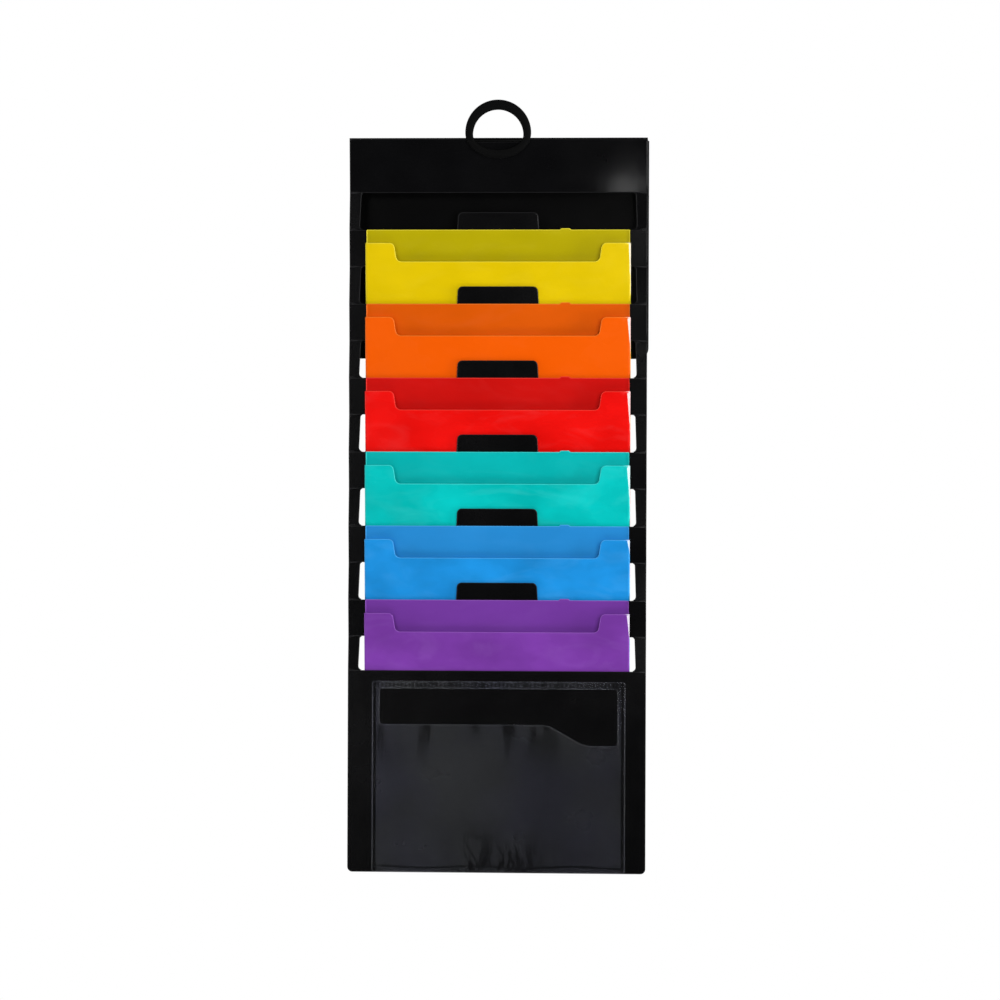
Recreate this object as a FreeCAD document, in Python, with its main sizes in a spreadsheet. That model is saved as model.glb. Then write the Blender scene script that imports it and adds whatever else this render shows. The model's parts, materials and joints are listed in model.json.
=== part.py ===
"""Hanging file rack: a folded black sheet that carries six coloured pockets in a cascade.

Millimetres. +Z is up, +Y points at the wall, -Y at the user, X runs across the rack.
The origin is the hook seat: the top of the hole in the hanging ring.

The black sheet is scored and folded in a zigzag. Going down from the header, narrow straps lean
forwards and crossbars lean back, by the same angle. Every crossbar carries a pocket on its front,
and the pocket hangs down behind the next crossbar. A fold is a scored crease between two panels,
so each panel is a piece of its own, and the crease is the hinge line between them:

    A folds: bottom of the header or of a crossbar, top of a strap, hinge line on the front face
    B folds: bottom of a strap, top of a crossbar, hinge line on the back face
"""
import FreeCAD, Part
import Sketcher
import math
import os

DIMENSIONS = {
    # folded black sheet
    "sheet_width": 335.0,
    "sheet_gauge": 0.8,
    "lean_angle": 6.0,
    "fold_length": 41.7,
    "last_fold_length": 38.0,
    "crease_gap": 0.2,
    "strap_width": 13.0,
    "strap_taper": 1.2,
    "window_ledge": 0.3,
    "window_top_round": 2.6,
    "window_low_round": 4.2,
    "header_height": 60.8,
    "header_notch_width": 56.0,
    "header_notch_depth": 3.7,
    "spine_depth": 27.7,
    "back_cover_width": 337.5,
    "back_cover_height": 246.0,
    "back_cover_corner": 12.0,
    "front_cover_height": 226.9,
    "front_cover_corner": 5.6,
    # index tab on each crossbar
    "tab_base_width": 91.7,
    "tab_top_width": 89.6,
    "tab_height": 19.5,
    "tab_corner": 5.5,
    # pockets
    "pocket_gauge": 0.6,
    "pocket_thickness": 6.8,
    "pocket_depth": 225.0,
    "pocket_width": 298.0,
    "pocket_back_width": 296.0,
    "pocket_corner": 1.0,
    "shoulder_drop": 14.5,
    "recess_drop": 35.4,
    "recess_top_width": 234.0,
    "recess_bottom_width": 227.5,
    "recess_round": 6.0,
    "nub_offset": 75.8,
    "nub_base_width": 12.5,
    "nub_top_width": 9.0,
    "nub_height": 1.6,
    # clear pocket on the front cover
    "film_gauge": 0.3,
    "film_gap": 0.8,
    "film_drop": 12.0,
    "film_width": 284.6,
    "film_offset": 2.2,
    "film_height": 214.4,
    "film_corner": 3.0,
    "weld_width": 3.9,
    "film_cut_width": 267.6,
    "film_cut_top": 8.4,
    "film_cut_left_drop": 48.6,
    "film_cut_right_drop": 71.8,
    "film_step_left": 58.0,
    "film_step_right": 98.3,
    "film_cut_corner": 3.6,
    "film_step_round": 30.0,
    # hanging ring
    "ring_gap": 0.3,
    "ring_thickness": 3.0,
    "ring_centre_rise": 6.4,
    "ring_half_width": 37.0,
    "ring_bottom_reach": 28.8,
    "ring_hole_centre_rise": 4.0,
    "ring_hole_half_width": 28.2,
    "ring_hole_rise": 28.0,
    "ring_hole_drop": 16.3,
    "ring_edge_round": 0.9,
    "tongue_width": 54.0,
    "tongue_top": 1.1,
    "tongue_height": 2.2,
    "tongue_set_back": 1.2,
    "foot_width": 66.0,
    "foot_top": 0.6,
    "foot_height": 9.4,
    "foot_gauge": 2.0,
}

POCKET_COUNT = 6
COLOURS = ["yellow", "orange", "red", "teal", "blue", "purple"]

doc = FreeCAD.newDocument("hanging_file_rack")
sheet = doc.addObject("Spreadsheet::Sheet", "Dims")
for row, (alias, value) in enumerate(DIMENSIONS.items(), start=1):
    sheet.set(f"A{row}", alias)
    sheet.set(f"B{row}", str(value))
    sheet.setAlias(f"B{row}", alias)
doc.recompute()

nodes = []


# ---------------------------------------------------------------- places of the fold lines
# Each place is a pair of expressions, for Y and for Z, in the terms of the sheet.

COS = "cos(Dims.lean_angle * 1 deg)"
SIN = "sin(Dims.lean_angle * 1 deg)"


def step(place, down, out, leans):
    """Move down along a leaning panel, and out of its front face. leans is +1 or -1."""
    y, z = place
    y = f"{y} + {leans} * ({down}) * {SIN} - ({out}) * {COS}"
    z = f"{z} - ({down}) * {COS} - {leans} * ({out}) * {SIN}"
    return y, z


RING_MIDDLE = "Dims.sheet_gauge + Dims.ring_gap + Dims.ring_thickness / 2"
HOOK_RISE = "Dims.ring_hole_centre_rise + Dims.ring_hole_rise"

# the hook seat is the origin, so the front crease lies below and behind it
front_crease = step(("0", "0"), HOOK_RISE, f"-({RING_MIDDLE})", 1)
back_crease = (f"{front_crease[0]} + Dims.spine_depth", front_crease[1])

a_folds = [step(front_crease, "Dims.header_height", "Dims.sheet_gauge", 1)]
b_folds = []
for level in range(1, POCKET_COUNT + 2):
    run = "Dims.fold_length" if level <= POCKET_COUNT else "Dims.last_fold_length"
    b_folds.append(step(a_folds[-1], run, "-Dims.sheet_gauge", -1))
    if level <= POCKET_COUNT:
        a_folds.append(step(b_folds[-1], "Dims.fold_length", "Dims.sheet_gauge", 1))


# ---------------------------------------------------------------- helpers

def place(piece, where, lean):
    """Put a piece's own origin on a fold line, leaning back (+1), forwards (-1) or upright (0)."""
    piece.Placement = FreeCAD.Placement(
        FreeCAD.Vector(0, 0, 0), FreeCAD.Rotation(FreeCAD.Vector(1, 0, 0), 1.0)
    )
    piece.setExpression("Placement.Base.y", where[0])
    piece.setExpression("Placement.Base.z", where[1])
    piece.setExpression("Placement.Rotation.Angle", f"{lean} * Dims.lean_angle")


def new_body(label, where, lean):
    body = doc.addObject("PartDesign::Body", label)
    body.Label = label
    place(body, where, lean)
    nodes.append(body)
    return body


def front_plane(body):
    """The body's own XZ plane, which a panel's outline is drawn on."""
    return next(f for f in body.Origin.OriginFeatures if f.Role == "XZ_Plane")


def outline(body, name, corners):
    """A closed straight-sided sketch. Every corner's X and Z are bound to the sheet."""
    sketch = body.newObject("Sketcher::SketchObject", name)
    sketch.AttachmentSupport = [(front_plane(body), "")]
    sketch.MapMode = "FlatFace"
    doc.recompute()
    points = []
    for x, z in corners:
        points.append(FreeCAD.Vector(value_of(x), value_of(z), 0))
    count = len(points)
    for i, start in enumerate(points):
        sketch.addGeometry(Part.LineSegment(start, points[(i + 1) % count]), False)
    for i in range(count):
        sketch.addConstraint(Sketcher.Constraint("Coincident", i, 2, (i + 1) % count, 1))
    for i, (x, z) in enumerate(corners):
        for kind, text, number in (("DistanceX", x, points[i].x), ("DistanceY", z, points[i].y)):
            index = sketch.addConstraint(Sketcher.Constraint(kind, -1, 1, i, 1, number))
            sketch.setExpression(f"Constraints[{index}]", text)
    return sketch


def value_of(expression):
    """The number that an expression has at the moment."""
    return float(sheet.evalExpression(expression))


def pad(body, sketch, back, gauge):
    """Raise an outline to a plate. back is how far its back face stands in front of the origin."""
    feature = body.newObject("PartDesign::Pad", f"{sketch.Name}_pad")
    feature.Profile = sketch
    feature.setExpression("Length", gauge)
    sketch.setExpression("AttachmentOffset.Base.z", back)
    doc.recompute()
    return feature


def cut_through(body, sketch):
    """Cut an outline out of the plate, right through it."""
    before = body.Shape.Volume
    feature = body.newObject("PartDesign::Pocket", f"{sketch.Name}_cut")
    feature.Profile = sketch
    feature.Type = "ThroughAll"
    feature.Midplane = True
    doc.recompute()
    if not feature.Shape.Volume < before - 1e-3:
        raise RuntimeError(f"{sketch.Name} cut nothing")
    return feature


def round_corners(body, feature, radius, corners):
    """Round the plate's corners that stand at the given X and Z, each a pair of expressions."""
    wanted = [(value_of(x), value_of(z)) for x, z in corners]
    names = []
    for number, edge in enumerate(feature.Shape.Edges, start=1):
        ends = [v.Point for v in edge.Vertexes]
        if len(ends) != 2 or abs(ends[0].x - ends[1].x) + abs(ends[0].z - ends[1].z) > 1e-6:
            continue
        if any(math.hypot(ends[0].x - x, ends[0].z - z) < 1e-4 for x, z in wanted):
            names.append(f"Edge{number}")
    if len(names) != len(wanted):
        raise RuntimeError(f"{body.Label}: {len(names)} corners found, {len(wanted)} wanted")
    fillet = body.newObject("PartDesign::Fillet", f"{feature.Name}_round")
    fillet.Base = (feature, names)
    fillet.setExpression("Radius", radius)
    doc.recompute()
    return fillet


def box(label, where, lean, x, y, z, size):
    """A straight strip: x, y and z are its lowest corner, and size its three lengths."""
    strip = doc.addObject("Part::Box", label)
    strip.Label = label
    place(strip, where, lean)
    # the lowest corner is an offset inside the leaning frame, so it is turned with it
    turn = f"({lean} * Dims.lean_angle * 1 deg)"
    strip.setExpression("Placement.Base.x", x)
    strip.setExpression("Placement.Base.y", f"{where[0]} + ({y}) * cos{turn} - ({z}) * sin{turn}")
    strip.setExpression("Placement.Base.z", f"{where[1]} + ({y}) * sin{turn} + ({z}) * cos{turn}")
    for side, length in zip(("Length", "Width", "Height"), size):
        strip.setExpression(side, length)
    return strip


def rectangle(width, top, bottom, middle="0"):
    """Corners of an outline centred on X = middle, from top down to bottom."""
    left = f"{middle} - {width} / 2"
    right = f"{middle} + {width} / 2"
    return [(left, top), (right, top), (right, bottom), (left, bottom)]


# ---------------------------------------------------------------- folded black sheet

def make_header():
    """Top panel. A notch in its top edge lets the ring's tongue through."""
    body = new_body("header_panel", front_crease, 1)
    side = "Dims.sheet_width / 2"
    notch = "Dims.header_notch_width / 2"
    top = "-Dims.crease_gap"
    sill = "-Dims.header_notch_depth"
    bottom = "-Dims.header_height + Dims.crease_gap"
    corners = [
        (f"-{side}", top), (f"-{notch}", top), (f"-{notch}", sill), (notch, sill),
        (notch, top), (side, top), (side, bottom), (f"-{side}", bottom),
    ]
    pad(body, outline(body, "header_outline", corners), "0", "Dims.sheet_gauge")


def make_spine():
    """Flat top panel between the header and the back cover."""
    spine = box(
        "spine_panel", front_crease, 0,
        "-Dims.sheet_width / 2", "Dims.crease_gap", "0",
        ("Dims.sheet_width", "Dims.spine_depth - 2 * Dims.crease_gap", "Dims.sheet_gauge"),
    )
    nodes.append(spine)


def make_back_cover():
    """Panel that lies against the wall, with its lower corners rounded."""
    body = new_body("back_cover", back_crease, 0)
    width = "Dims.back_cover_width"
    bottom = "-Dims.back_cover_height"
    plate = pad(
        body, outline(body, "back_cover_outline", rectangle(width, "-Dims.crease_gap", bottom)),
        "-Dims.sheet_gauge", "Dims.sheet_gauge",
    )
    lower = [(f"-{width} / 2", bottom), (f"{width} / 2", bottom)]
    round_corners(body, plate, "Dims.back_cover_corner", lower)


def make_straps(level):
    """The two side straps that hang from one A fold.

    A strap's inner edge is one side of the opening beside the pockets. It slopes outwards on
    its way down, and flares at both ends, which rounds the opening's corners.
    """
    run = "Dims.fold_length" if level <= POCKET_COUNT else "Dims.last_fold_length"
    top = "-Dims.crease_gap"
    low = f"-({run} - Dims.crease_gap)"
    ledge_top = f"{top} - Dims.window_ledge"
    ledge_low = f"{low} + Dims.window_ledge"
    outer = "Dims.sheet_width / 2"
    inner_top = f"{outer} - Dims.strap_width"
    inner_low = f"{inner_top} + Dims.strap_taper"
    flare_top = f"{inner_top} - Dims.window_top_round - Dims.window_ledge"
    flare_low = f"{inner_low} - Dims.window_low_round - Dims.window_ledge"
    corners = [
        (outer, top), (flare_top, top), (flare_top, ledge_top), (inner_top, ledge_top),
        (inner_low, ledge_low), (flare_low, ledge_low), (flare_low, low), (outer, low),
    ]
    for side, sign in (("left", "-"), ("right", "")):
        label = f"strap_{side}_{level}"
        body = new_body(label, a_folds[level - 1], -1)
        turned = [(f"{sign}({x})", z) for x, z in corners]
        sketch = outline(body, f"{label}_outline", turned)
        strap = pad(body, sketch, "-Dims.sheet_gauge", "Dims.sheet_gauge")
        strap = round_corners(body, strap, "Dims.window_top_round", turned[3:4])
        round_corners(body, strap, "Dims.window_low_round", turned[4:5])


def make_crossbar(level):
    """Full-width bar with the index tab that stands up from its top edge."""
    body = new_body(f"crossbar_{level}", b_folds[level - 1], 1)
    side = "Dims.sheet_width / 2"
    base = "Dims.tab_base_width / 2"
    tip = "Dims.tab_top_width / 2"
    top = "-Dims.crease_gap"
    bottom = "-Dims.fold_length + Dims.crease_gap"
    corners = [
        (f"-{side}", top), (f"-{base}", top), (f"-{tip}", "Dims.tab_height"),
        (tip, "Dims.tab_height"), (base, top), (side, top), (side, bottom), (f"-{side}", bottom),
    ]
    plate = pad(body, outline(body, f"crossbar_{level}_outline", corners), "0", "Dims.sheet_gauge")
    round_corners(body, plate, "Dims.tab_corner", corners[2:4])


def make_front_cover():
    """Lowest panel of the sheet. It hangs plumb, and covers the collapsed stack."""
    body = new_body("front_cover", b_folds[-1], 0)
    width = "Dims.sheet_width"
    bottom = "-Dims.front_cover_height"
    plate = pad(
        body, outline(body, "front_cover_outline", rectangle(width, "-Dims.crease_gap", bottom)),
        "0", "Dims.sheet_gauge",
    )
    lower = [(f"-{width} / 2", bottom), (f"{width} / 2", bottom)]
    round_corners(body, plate, "Dims.front_cover_corner", lower)


# ---------------------------------------------------------------- pockets

POCKET_BACK = "Dims.sheet_gauge"
POCKET_INSIDE = "Dims.sheet_gauge + Dims.pocket_gauge"
POCKET_FRONT_INSIDE = "Dims.sheet_gauge + Dims.pocket_thickness - Dims.pocket_gauge"
POCKET_INNER_WIDTH = "(Dims.pocket_thickness - 2 * Dims.pocket_gauge)"


def make_pocket(level, colour):
    """One pocket: back panel, recessed front panel, two side gussets and a bottom gusset."""
    fold = b_folds[level - 1]
    make_pocket_back(colour, fold)
    make_pocket_front(colour, fold)
    gusset_height = "Dims.pocket_depth - Dims.shoulder_drop - Dims.pocket_corner"
    edges = {
        "left": "-Dims.pocket_back_width / 2",
        "right": "Dims.pocket_back_width / 2 - Dims.pocket_gauge",
    }
    for side, start in edges.items():
        gusset = box(
            f"{colour}_pocket_gusset_{side}", fold, 1,
            start, f"-({POCKET_FRONT_INSIDE})", "-Dims.pocket_depth + Dims.pocket_gauge",
            ("Dims.pocket_gauge", POCKET_INNER_WIDTH, gusset_height),
        )
        nodes.append(gusset)
    bottom = box(
        f"{colour}_pocket_gusset_bottom", fold, 1,
        "-Dims.pocket_back_width / 2", f"-({POCKET_FRONT_INSIDE})", "-Dims.pocket_depth",
        ("Dims.pocket_back_width", POCKET_INNER_WIDTH, "Dims.pocket_gauge"),
    )
    nodes.append(bottom)


def make_pocket_back(colour, fold):
    """Back panel, welded to the front of its crossbar. A small nub stands on its top edge."""
    body = new_body(f"{colour}_pocket_back", fold, 1)
    side = "Dims.pocket_back_width / 2"
    bottom = "-Dims.pocket_depth"
    corners = [(f"-{side}", "0")]
    for direction, width, rise in (
        ("-", "Dims.nub_base_width", "0"),
        ("-", "Dims.nub_top_width", "Dims.nub_height"),
        ("+", "Dims.nub_top_width", "Dims.nub_height"),
        ("+", "Dims.nub_base_width", "0"),
    ):
        corners.append((f"Dims.nub_offset {direction} {width} / 2", rise))
    corners += [(side, "0"), (side, bottom), (f"-{side}", bottom)]
    sketch = outline(body, f"{colour}_back_outline", corners)
    plate = pad(body, sketch, POCKET_BACK, "Dims.pocket_gauge")
    top_corners = [(f"-{side}", "0"), (side, "0")]
    round_corners(body, plate, "Dims.pocket_corner", top_corners)


def make_pocket_front(colour, fold):
    """Front panel, with a wide recess in its top edge between two shoulders."""
    body = new_body(f"{colour}_pocket_front", fold, 1)
    side = "Dims.pocket_width / 2"
    wide = "Dims.recess_top_width / 2"
    narrow = "Dims.recess_bottom_width / 2"
    shoulder = "-Dims.shoulder_drop"
    sill = "-Dims.recess_drop"
    bottom = "-Dims.pocket_depth"
    corners = [
        (f"-{side}", shoulder), (f"-{wide}", shoulder), (f"-{narrow}", sill), (narrow, sill),
        (wide, shoulder), (side, shoulder), (side, bottom), (f"-{side}", bottom),
    ]
    sketch = outline(body, f"{colour}_front_outline", corners)
    plate = pad(body, sketch, POCKET_FRONT_INSIDE, "Dims.pocket_gauge")
    plate = round_corners(body, plate, "Dims.recess_round", corners[1:5])
    round_corners(body, plate, "Dims.pocket_corner", [corners[0], corners[5]])


# ---------------------------------------------------------------- clear pocket on the front cover

def make_film():
    """Clear sheet. Its cut-out is the mouth that a title page slides in through."""
    body = new_body("clear_pocket_film", b_folds[-1], 0)
    top = "-Dims.film_drop"
    bottom = "-(Dims.film_drop + Dims.film_height)"
    outer = rectangle("Dims.film_width", top, bottom, "Dims.film_offset")
    sketch = outline(body, "film_outline", outer)
    plate = pad(body, sketch, "Dims.sheet_gauge + Dims.film_gap", "Dims.film_gauge")
    round_corners(body, plate, "Dims.film_corner", outer)

    left = "Dims.film_offset - Dims.film_cut_width / 2"
    right = "Dims.film_offset + Dims.film_cut_width / 2"
    cut_top = "-(Dims.film_drop + Dims.film_cut_top)"
    left_sill = "-(Dims.film_drop + Dims.film_cut_left_drop)"
    right_sill = "-(Dims.film_drop + Dims.film_cut_right_drop)"
    mouth = [
        (left, cut_top), (right, cut_top), (right, right_sill),
        ("Dims.film_step_right", right_sill), ("Dims.film_step_left", left_sill),
        (left, left_sill),
    ]
    cut = cut_through(body, outline(body, "film_mouth_outline", mouth))
    ends = [mouth[0], mouth[1], mouth[2], mouth[5]]
    cut = round_corners(body, cut, "Dims.film_cut_corner", ends)
    round_corners(body, cut, "Dims.film_step_round", mouth[3:5])


def make_film_welds():
    """Welded rim that joins the film to the front cover on all four sides: four strips."""
    left = "Dims.film_offset - Dims.film_width / 2"
    right = "Dims.film_offset + Dims.film_width / 2"
    depth = "-(Dims.sheet_gauge + Dims.film_gap)"
    low = "-(Dims.film_drop + Dims.film_height)"
    inner_low = f"{low} + Dims.weld_width"
    inner_height = "Dims.film_height - 2 * Dims.weld_width"
    across = ("Dims.film_width", "Dims.film_gap", "Dims.weld_width")
    upright = ("Dims.weld_width", "Dims.film_gap", inner_height)
    strips = []
    for name, x, z, size in (
        ("weld_top", left, "-(Dims.film_drop + Dims.weld_width)", across),
        ("weld_bottom", left, low, across),
        ("weld_left", left, inner_low, upright),
        ("weld_right", f"{right} - Dims.weld_width", inner_low, upright),
    ):
        strips.append(box(name, b_folds[-1], 0, x, depth, z, size))
    rim = doc.addObject("Part::Compound", "clear_pocket_weld_rim")
    rim.Label = "clear_pocket_weld_rim"
    rim.Links = strips
    nodes.append(rim)


# ---------------------------------------------------------------- hanging ring

def half_ellipse(across, reach, centre, upper, y):
    """Upper or lower half of an ellipse about (0, y, centre), as one edge."""
    long_way = max(across, reach)
    short_way = min(across, reach)
    ellipse = Part.Ellipse(FreeCAD.Vector(0, 0, 0), long_way, short_way)
    arc = Part.ArcOfEllipse(ellipse, 0, math.pi) if upper else Part.ArcOfEllipse(
        ellipse, math.pi, 2 * math.pi
    )
    edge = arc.toShape()
    edge.Placement = FreeCAD.Placement(
        FreeCAD.Vector(0, y, centre), FreeCAD.Rotation(FreeCAD.Vector(1, 0, 0), 90)
    )
    return edge


def make_ring():
    """Moulded ring in front of the header, with a tongue through the notch and a foot behind.

    The outline is four half ellipses, which no primitive gives, so the shape is set from code.
    """
    d = {name: getattr(sheet, name) for name in DIMENSIONS}
    back = -(d["sheet_gauge"] + d["ring_gap"])
    front = back - d["ring_thickness"]
    centre = d["ring_centre_rise"]
    hole_centre = d["ring_hole_centre_rise"]
    outer = Part.Wire([
        half_ellipse(d["ring_half_width"], d["ring_half_width"], centre, True, front),
        half_ellipse(d["ring_half_width"], d["ring_bottom_reach"], centre, False, front),
    ])
    inner = Part.Wire([
        half_ellipse(d["ring_hole_half_width"], d["ring_hole_rise"], hole_centre, True, front),
        half_ellipse(d["ring_hole_half_width"], d["ring_hole_drop"], hole_centre, False, front),
    ])
    depth = FreeCAD.Vector(0, d["ring_thickness"], 0)
    band = Part.Face(outer).extrude(depth).cut(Part.Face(inner).extrude(depth))
    rims = [e for e in band.Edges if all(abs(v.Y - front) < 1e-6 for v in e.Vertexes)]
    band = band.makeFillet(d["ring_edge_round"], rims)

    half = d["tongue_width"] / 2
    tongue_low = -(d["tongue_top"] + d["tongue_height"])
    tongue_front = front + d["tongue_set_back"]
    foot_front = d["ring_gap"]
    foot_back = foot_front + d["foot_gauge"]
    reach = d["ring_hole_half_width"] + 1.0
    bar = Part.makeBox(
        2 * reach, back - tongue_front, d["tongue_height"],
        FreeCAD.Vector(-reach, tongue_front, tongue_low),
    )
    tongue = Part.makeBox(
        2 * half, foot_back - back, d["tongue_height"],
        FreeCAD.Vector(-half, back, tongue_low),
    )
    foot_half = d["foot_width"] / 2
    foot = Part.makeBox(
        2 * foot_half, d["foot_gauge"], d["foot_height"],
        FreeCAD.Vector(-foot_half, foot_front, -(d["foot_top"] + d["foot_height"])),
    )
    ring = doc.addObject("Part::Feature", "hanging_ring")
    ring.Label = "hanging_ring"
    ring.Shape = band.fuse([bar, tongue, foot]).removeSplitter()
    place(ring, front_crease, 1)
    nodes.append(ring)


# ---------------------------------------------------------------- the whole rack

make_ring()
make_header()
make_spine()
make_back_cover()
for level in range(1, POCKET_COUNT + 2):
    make_straps(level)
for level, colour in enumerate(COLOURS, start=1):
    make_crossbar(level)
    make_pocket(level, colour)
make_front_cover()
make_film()
make_film_welds()
doc.recompute()

for thing in doc.Objects:
    if "Invalid" in thing.State or "Error" in thing.State:
        raise RuntimeError(f"{thing.Label} failed: {thing.State}")
for node in nodes:
    if node.Shape.isNull() or not node.Shape.isValid():
        raise RuntimeError(f"{node.Label} has no valid shape")

os.makedirs("parts", exist_ok=True)
for node in nodes:
    node.Shape.exportStep(f"parts/{node.Label}.step")
print(len(nodes), "nodes written")
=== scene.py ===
import json
import math

import bmesh
import bpy
from mathutils import Matrix, Vector
from mathutils.geometry import delaunay_2d_cdt


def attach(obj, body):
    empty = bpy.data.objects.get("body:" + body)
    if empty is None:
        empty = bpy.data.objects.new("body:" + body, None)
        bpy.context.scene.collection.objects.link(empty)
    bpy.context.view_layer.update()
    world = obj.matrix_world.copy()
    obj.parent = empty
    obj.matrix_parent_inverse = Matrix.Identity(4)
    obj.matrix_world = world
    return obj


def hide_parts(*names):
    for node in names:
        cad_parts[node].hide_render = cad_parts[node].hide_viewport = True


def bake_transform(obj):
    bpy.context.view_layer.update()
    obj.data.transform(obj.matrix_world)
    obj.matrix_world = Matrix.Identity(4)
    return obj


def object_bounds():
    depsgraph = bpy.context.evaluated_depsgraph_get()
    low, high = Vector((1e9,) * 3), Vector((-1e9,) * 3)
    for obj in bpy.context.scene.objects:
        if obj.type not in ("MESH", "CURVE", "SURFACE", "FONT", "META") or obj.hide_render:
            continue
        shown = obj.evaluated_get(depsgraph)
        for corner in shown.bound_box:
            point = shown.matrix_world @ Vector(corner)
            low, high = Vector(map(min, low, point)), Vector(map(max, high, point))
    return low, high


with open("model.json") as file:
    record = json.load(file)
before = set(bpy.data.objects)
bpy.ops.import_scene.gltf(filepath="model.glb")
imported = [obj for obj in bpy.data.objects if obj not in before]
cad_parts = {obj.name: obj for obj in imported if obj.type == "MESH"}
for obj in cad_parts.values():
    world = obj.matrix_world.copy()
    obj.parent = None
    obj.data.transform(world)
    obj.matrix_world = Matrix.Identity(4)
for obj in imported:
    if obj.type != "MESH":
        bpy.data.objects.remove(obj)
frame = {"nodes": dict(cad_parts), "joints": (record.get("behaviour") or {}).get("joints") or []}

cad_low, cad_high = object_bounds()

# ---------------------------------------------------------------- driving sizes, in millimetres

MM = 0.001
LEAN = 6.0                # how far the panels lean forward and the straps lean back, degrees
POCKET_COUNT = 6
COLOURS = ["yellow", "orange", "red", "teal", "blue", "purple"]
EDGE_CHAMFER = 0.12       # broken edge of every sheet
EDGE_BAND = 1.1           # band beside a cut edge over which its painted highlight fades
MESH_STEP = 9.0           # spacing of the points inside a sheet

TAB_BASE = 91.7           # widths of the index tabs
TAB_TOP = 89.6
TAB_ROUND = 5.5
STRAP_WIDTH = 13.0        # at its upper end
STRAP_TAPER = 1.2         # a strap is this much narrower at its lower end
STRAP_TOP_ROUND = 2.6     # rounded corners of the openings beside the pockets
STRAP_LOW_ROUND = 4.2
NOTCH_WIDTH = 56.0        # notch in the header's top edge that the ring's tongue goes through
NOTCH_DEPTH = 3.7
NOTCH_ROUND = 0.8
BACK_COVER_ROUND = 12.0   # lower corners
FRONT_COVER_ROUND = 5.6
CREASE_GAP = 0.2          # a crossbar stops this far short of its crease

SHOULDER_ROUND = 1.0
RECESS_TOP = 234.0        # widths of the recess in a front panel's top edge
RECESS_SILL = 227.5
RECESS_DROP = 20.9        # from the shoulders down to the recess's sill
RECESS_ROUND = 6.0
NUB_PLACE = 75.8          # small nub on a back panel, right of the centre
NUB_BASE = 12.5
NUB_TOP = 9.0
NUB_ROUND = 1.0
FACETS = {                # width and drop of the bent corner of each right shoulder
    "yellow": (2.4, 60.0), "orange": (3.8, 40.0), "red": (3.8, 48.0),
    "teal": (3.8, 46.0), "blue": (3.2, 16.0), "purple": (3.4, 30.0),
}
FACET_ANGLE = 40.0        # degrees
FACET_ROWS = 30           # rows of points along its bend, and their places across it
FACET_COLUMNS = (-0.45, 0.0, 0.35)
FRONT_CURL = 2.0          # bend radius where a front panel turns back into its gussets
BACK_CURL = 1.1           # the same for a back panel
CURL_COLUMNS = (0.35, 0.62, 0.85, 1.05)    # places of the columns of points beside a curl, in radii
SIDE_FOLD = 3.2           # how far a side gusset is folded inwards
BOTTOM_FOLD = 2.6         # how far the bottom gusset is folded upwards
FOLD_STEPS = 4

MOUTH_WIDTH = 267.6       # cut-out mouth of the clear pocket, with a step down on its right
MOUTH_TOP = 8.4
MOUTH_LEFT_DROP = 48.6
MOUTH_RIGHT_DROP = 71.8
STEP_LEFT = 58.0
STEP_RIGHT = 98.3
STEP_ROUND = 30.0
FILM_ROUND = 3.0          # outer corners
MOUTH_ROUND = 3.6
TOP_WELD = 4.4            # middle of the top weld, below the film's top edge
SIDE_WELD = 3.0           # middle of a side weld's pressed line, from the film's side edge
TICK_PITCH = 4.4          # of the pressed marks along the top weld
HEM = 6.0                 # dark line above the film's bottom edge
FILM_BAND = 1.2           # band beside the film's cut edges
WELD_WIDTH = 3.9
WELD_SECTION = (          # places across the welded rim, and whether they are on its pressed row
    (0.0, 0), (0.9, 0), (1.3, 1), (2.6, 1), (3.0, 0), (WELD_WIDTH, 0),
)
WELD_PITCH = 2.4          # of the pressed row
WELD_DIP = 0.35

RING_OUTER = (37.0, 37.0, 28.8, 6.4)    # half width, rise, reach and centre of the outer ellipses
RING_INNER = (28.2, 28.0, 16.3, 4.0)    # the same for the hole
RING_EDGE = 0.9           # radius of its rounded edges
RING_SECTIONS = 96
RING_BACK = -1.1          # depth of its rear face
BAR = (-3.3, -1.1)        # heights of the bar across the hole, and of the tongue behind it
FOOT = (-10.0, -0.6)      # heights of the foot behind the header
FOOT_FRONT = 0.3          # depth of the foot's front face
TONGUE_WIDTH = 54.0
FOOT_WIDTH = 66.0

WEB_REACH = 0.34          # half height of a crease's web
UPPER_FACE = (0.16, 0.62)         # depths of the web above a pair of straps, behind its fold line
LOWER_FACE = (-0.62, -0.16)       # and of the web below it, in front of its fold line
CORNER_OUTER = 1.0        # radii of the corners at the spine
CORNER_INNER = 0.45
CORNER_CENTRE = 0.2       # from a fold line at the spine to the middle of its corner, both ways


# ---------------------------------------------------------------- places

def fold_place(joint_name, lean):
    """Matrix from a panel's own millimetres to the row frame. Its origin is on the fold line."""
    joint = next(j for j in frame["joints"] if j["name"] == joint_name)
    origin = Vector((0, joint["pos_m"][1], joint["pos_m"][2]))
    turn = Matrix.Rotation(math.radians(lean), 4, "X")
    return Matrix.Translation(origin) @ turn @ Matrix.Scale(MM, 4)


def extent(node, place):
    """Lowest and highest corner of a CAD node in a panel's own millimetres."""
    back = place.inverted()
    points = [back @ v.co for v in frame["nodes"][node].data.vertices]
    low = Vector([min(p[i] for p in points) for i in range(3)])
    high = Vector([max(p[i] for p in points) for i in range(3)])
    return low, high


FRONT_CREASE = fold_place("spine_fold", LEAN)
SPINE_PLACE = fold_place("spine_fold", -90)
BACK_CREASE = fold_place("back_cover_fold", 0)
STRAP_PLACES = [fold_place(f"strap_fold_{k}", -LEAN) for k in range(1, POCKET_COUNT + 2)]
PANEL_PLACES = [fold_place(f"pocket_fold_{k}", LEAN) for k in range(1, POCKET_COUNT + 1)]
COVER_PLACE = fold_place("front_cover_fold", 0)


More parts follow.
